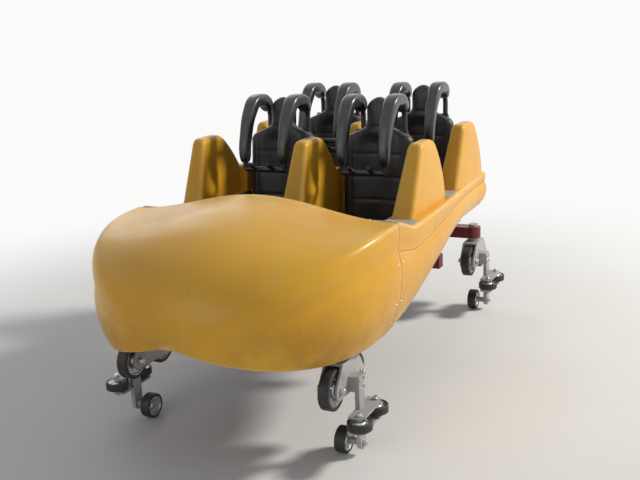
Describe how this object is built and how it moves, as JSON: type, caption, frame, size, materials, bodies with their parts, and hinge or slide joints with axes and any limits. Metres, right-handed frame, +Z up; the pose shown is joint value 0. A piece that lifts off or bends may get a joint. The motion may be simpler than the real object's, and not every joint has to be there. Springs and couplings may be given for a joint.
{
  "type": "roller coaster car",
  "caption": "Lead car of a looping coaster train: amber nose and tub with seat fins, shoulder restraints and rail wheel carriers.",
  "frame": {"origin": "middle of the car's length and width, on the ground under the up-stop wheels", "axes": "-Y forwards, +X to the car's left, +Z up"},
  "size_m": [1.6382, 3.3642, 1.704],
  "materials": {
    "amber_gelcoat": "glossy amber gelcoat, lightly worn",
    "maroon_paint": "maroon enamel",
    "black_steel": "black satin powder coat",
    "black_pad": "black skinned foam with a fine grain",
    "dark_moulding": "dark grey moulding",
    "grey_tread": "pale grit anti-slip surface",
    "grey_metal": "light grey paint over steel",
    "wheel_tyre": "dark polyurethane tread on a steel hub"
  },
  "bodies": {
    "car": {"chassis_frame": "maroon_paint", "front_axle": "maroon_paint", "rear_axle": "maroon_paint", "drawbar": "maroon_paint", "nose_cowl": "amber_gelcoat", "side_panel_left": "amber_gelcoat", "side_panel_right": "amber_gelcoat", "sill_left": "amber_gelcoat", "sill_right": "amber_gelcoat", "lift_dogs": "black_steel", "rear_panel": "amber_gelcoat", "floor_tub": "dark_moulding", "dash_panel": "dark_moulding", "entry_treads": "grey_tread", "seat_shell_front": "amber_gelcoat", "seat_shell_rear": "amber_gelcoat", "restraint_mount_front": "black_steel", "restraint_mount_rear": "black_steel", "seat_pad_front_left": "black_pad", "seat_pad_front_right": "black_pad", "seat_pad_rear_left": "black_pad", "seat_pad_rear_right": "black_pad"},
    "restraint_front_left": {"restraint_frame_front_left": "black_steel", "restraint_collar_front_left": "black_pad"},
    "restraint_front_right": {"restraint_frame_front_right": "black_steel", "restraint_collar_front_right": "black_pad"},
    "restraint_rear_left": {"restraint_frame_rear_left": "black_steel", "restraint_collar_rear_left": "black_pad"},
    "restraint_rear_right": {"restraint_frame_rear_right": "black_steel", "restraint_collar_rear_right": "black_pad"},
    "carrier_front_left": {"carrier_front_left": "grey_metal"},
    "run_wheel_a_front_left": {"run_wheel_a_front_left": "wheel_tyre"},
    "run_wheel_b_front_left": {"run_wheel_b_front_left": "wheel_tyre"},
    "guide_wheel_a_front_left": {"guide_wheel_a_front_left": "wheel_tyre"},
    "guide_wheel_b_front_left": {"guide_wheel_b_front_left": "wheel_tyre"},
    "upstop_wheel_front_left": {"upstop_wheel_front_left": "wheel_tyre"},
    "carrier_front_right": {"carrier_front_right": "grey_metal"},
    "run_wheel_a_front_right": {"run_wheel_a_front_right": "wheel_tyre"},
    "run_wheel_b_front_right": {"run_wheel_b_front_right": "wheel_tyre"},
    "guide_wheel_a_front_right": {"guide_wheel_a_front_right": "wheel_tyre"},
    "guide_wheel_b_front_right": {"guide_wheel_b_front_right": "wheel_tyre"},
    "upstop_wheel_front_right": {"upstop_wheel_front_right": "wheel_tyre"},
    "carrier_rear_left": {"carrier_rear_left": "grey_metal"},
    "run_wheel_a_rear_left": {"run_wheel_a_rear_left": "wheel_tyre"},
    "run_wheel_b_rear_left": {"run_wheel_b_rear_left": "wheel_tyre"},
    "guide_wheel_a_rear_left": {"guide_wheel_a_rear_left": "wheel_tyre"},
    "guide_wheel_b_rear_left": {"guide_wheel_b_rear_left": "wheel_tyre"},
    "upstop_wheel_rear_left": {"upstop_wheel_rear_left": "wheel_tyre"},
    "carrier_rear_right": {"carrier_rear_right": "grey_metal"},
    "run_wheel_a_rear_right": {"run_wheel_a_rear_right": "wheel_tyre"},
    "run_wheel_b_rear_right": {"run_wheel_b_rear_right": "wheel_tyre"},
    "guide_wheel_a_rear_right": {"guide_wheel_a_rear_right": "wheel_tyre"},
    "guide_wheel_b_rear_right": {"guide_wheel_b_rear_right": "wheel_tyre"},
    "upstop_wheel_rear_right": {"upstop_wheel_rear_right": "wheel_tyre"}
  },
  "joints": [
    {"name": "restraint_front_left_hinge", "type": "hinge", "parent": "car", "child": "restraint_front_left", "pos_m": [0.32985, 0.277, 1.395], "axis": [-1, 0, 0], "range_deg": [0, 78]},
    {"name": "restraint_front_right_hinge", "type": "hinge", "parent": "car", "child": "restraint_front_right", "pos_m": [-0.32985, 0.277, 1.395], "axis": [-1, 0, 0], "range_deg": [0, 78]},
    {"name": "restraint_rear_left_hinge", "type": "hinge", "parent": "car", "child": "restraint_rear_left", "pos_m": [0.32985, 1.097, 1.395], "axis": [-1, 0, 0], "range_deg": [0, 78]},
    {"name": "restraint_rear_right_hinge", "type": "hinge", "parent": "car", "child": "restraint_rear_right", "pos_m": [-0.32985, 1.097, 1.395], "axis": [-1, 0, 0], "range_deg": [0, 78]},
    {"name": "swivel_front_left", "type": "hinge", "parent": "car", "child": "carrier_front_left", "pos_m": [0.6, -1.075, 0.56], "axis": [0, 0, 1], "range_deg": [-6, 6]},
    {"name": "spin_run_wheel_a_front_left", "type": "hinge", "parent": "carrier_front_left", "child": "run_wheel_a_front_left", "pos_m": [0.6, -1.2, 0.395], "axis": [1, 0, 0], "continuous": true},
    {"name": "spin_run_wheel_b_front_left", "type": "hinge", "parent": "carrier_front_left", "child": "run_wheel_b_front_left", "pos_m": [0.6, -0.95, 0.395], "axis": [1, 0, 0], "continuous": true},
    {"name": "spin_guide_wheel_a_front_left", "type": "hinge", "parent": "carrier_front_left", "child": "guide_wheel_a_front_left", "pos_m": [0.737, -1.182, 0.22], "axis": [0, 0, 1], "continuous": true},
    {"name": "spin_guide_wheel_b_front_left", "type": "hinge", "parent": "carrier_front_left", "child": "guide_wheel_b_front_left", "pos_m": [0.737, -0.968, 0.22], "axis": [0, 0, 1], "continuous": true},
    {"name": "spin_upstop_wheel_front_left", "type": "hinge", "parent": "carrier_front_left", "child": "upstop_wheel_front_left", "pos_m": [0.6, -1.075, 0.07], "axis": [1, 0, 0], "continuous": true},
    {"name": "swivel_front_right", "type": "hinge", "parent": "car", "child": "carrier_front_right", "pos_m": [-0.6, -1.075, 0.56], "axis": [0, 0, 1], "range_deg": [-6, 6]},
    {"name": "spin_run_wheel_a_front_right", "type": "hinge", "parent": "carrier_front_right", "child": "run_wheel_a_front_right", "pos_m": [-0.6, -1.2, 0.395], "axis": [1, 0, 0], "continuous": true},
    {"name": "spin_run_wheel_b_front_right", "type": "hinge", "parent": "carrier_front_right", "child": "run_wheel_b_front_right", "pos_m": [-0.6, -0.95, 0.395], "axis": [1, 0, 0], "continuous": true},
    {"name": "spin_guide_wheel_a_front_right", "type": "hinge", "parent": "carrier_front_right", "child": "guide_wheel_a_front_right", "pos_m": [-0.737, -1.182, 0.22], "axis": [0, 0, 1], "continuous": true},
    {"name": "spin_guide_wheel_b_front_right", "type": "hinge", "parent": "carrier_front_right", "child": "guide_wheel_b_front_right", "pos_m": [-0.737, -0.968, 0.22], "axis": [0, 0, 1], "continuous": true},
    {"name": "spin_upstop_wheel_front_right", "type": "hinge", "parent": "carrier_front_right", "child": "upstop_wheel_front_right", "pos_m": [-0.6, -1.075, 0.07], "axis": [1, 0, 0], "continuous": true},
    {"name": "swivel_rear_left", "type": "hinge", "parent": "car", "child": "carrier_rear_left", "pos_m": [0.6, 1.325, 0.56], "axis": [0, 0, 1], "range_deg": [-6, 6]},
    {"name": "spin_run_wheel_a_rear_left", "type": "hinge", "parent": "carrier_rear_left", "child": "run_wheel_a_rear_left", "pos_m": [0.6, 1.2, 0.395], "axis": [1, 0, 0], "continuous": true},
    {"name": "spin_run_wheel_b_rear_left", "type": "hinge", "parent": "carrier_rear_left", "child": "run_wheel_b_rear_left", "pos_m": [0.6, 1.45, 0.395], "axis": [1, 0, 0], "continuous": true},
    {"name": "spin_guide_wheel_a_rear_left", "type": "hinge", "parent": "carrier_rear_left", "child": "guide_wheel_a_rear_left", "pos_m": [0.737, 1.218, 0.22], "axis": [0, 0, 1], "continuous": true},
    {"name": "spin_guide_wheel_b_rear_left", "type": "hinge", "parent": "carrier_rear_left", "child": "guide_wheel_b_rear_left", "pos_m": [0.737, 1.432, 0.22], "axis": [0, 0, 1], "continuous": true},
    {"name": "spin_upstop_wheel_rear_left", "type": "hinge", "parent": "carrier_rear_left", "child": "upstop_wheel_rear_left", "pos_m": [0.6, 1.325, 0.07], "axis": [1, 0, 0], "continuous": true},
    {"name": "swivel_rear_right", "type": "hinge", "parent": "car", "child": "carrier_rear_right", "pos_m": [-0.6, 1.325, 0.56], "axis": [0, 0, 1], "range_deg": [-6, 6]},
    {"name": "spin_run_wheel_a_rear_right", "type": "hinge", "parent": "carrier_rear_right", "child": "run_wheel_a_rear_right", "pos_m": [-0.6, 1.2, 0.395], "axis": [1, 0, 0], "continuous": true},
    {"name": "spin_run_wheel_b_rear_right", "type": "hinge", "parent": "carrier_rear_right", "child": "run_wheel_b_rear_right", "pos_m": [-0.6, 1.45, 0.395], "axis": [1, 0, 0], "continuous": true},
    {"name": "spin_guide_wheel_a_rear_right", "type": "hinge", "parent": "carrier_rear_right", "child": "guide_wheel_a_rear_right", "pos_m": [-0.737, 1.218, 0.22], "axis": [0, 0, 1], "continuous": true},
    {"name": "spin_guide_wheel_b_rear_right", "type": "hinge", "parent": "carrier_rear_right", "child": "guide_wheel_b_rear_right", "pos_m": [-0.737, 1.432, 0.22], "axis": [0, 0, 1], "continuous": true},
    {"name": "spin_upstop_wheel_rear_right", "type": "hinge", "parent": "carrier_rear_right", "child": "upstop_wheel_rear_right", "pos_m": [-0.6, 1.325, 0.07], "axis": [1, 0, 0], "continuous": true}
  ]
}
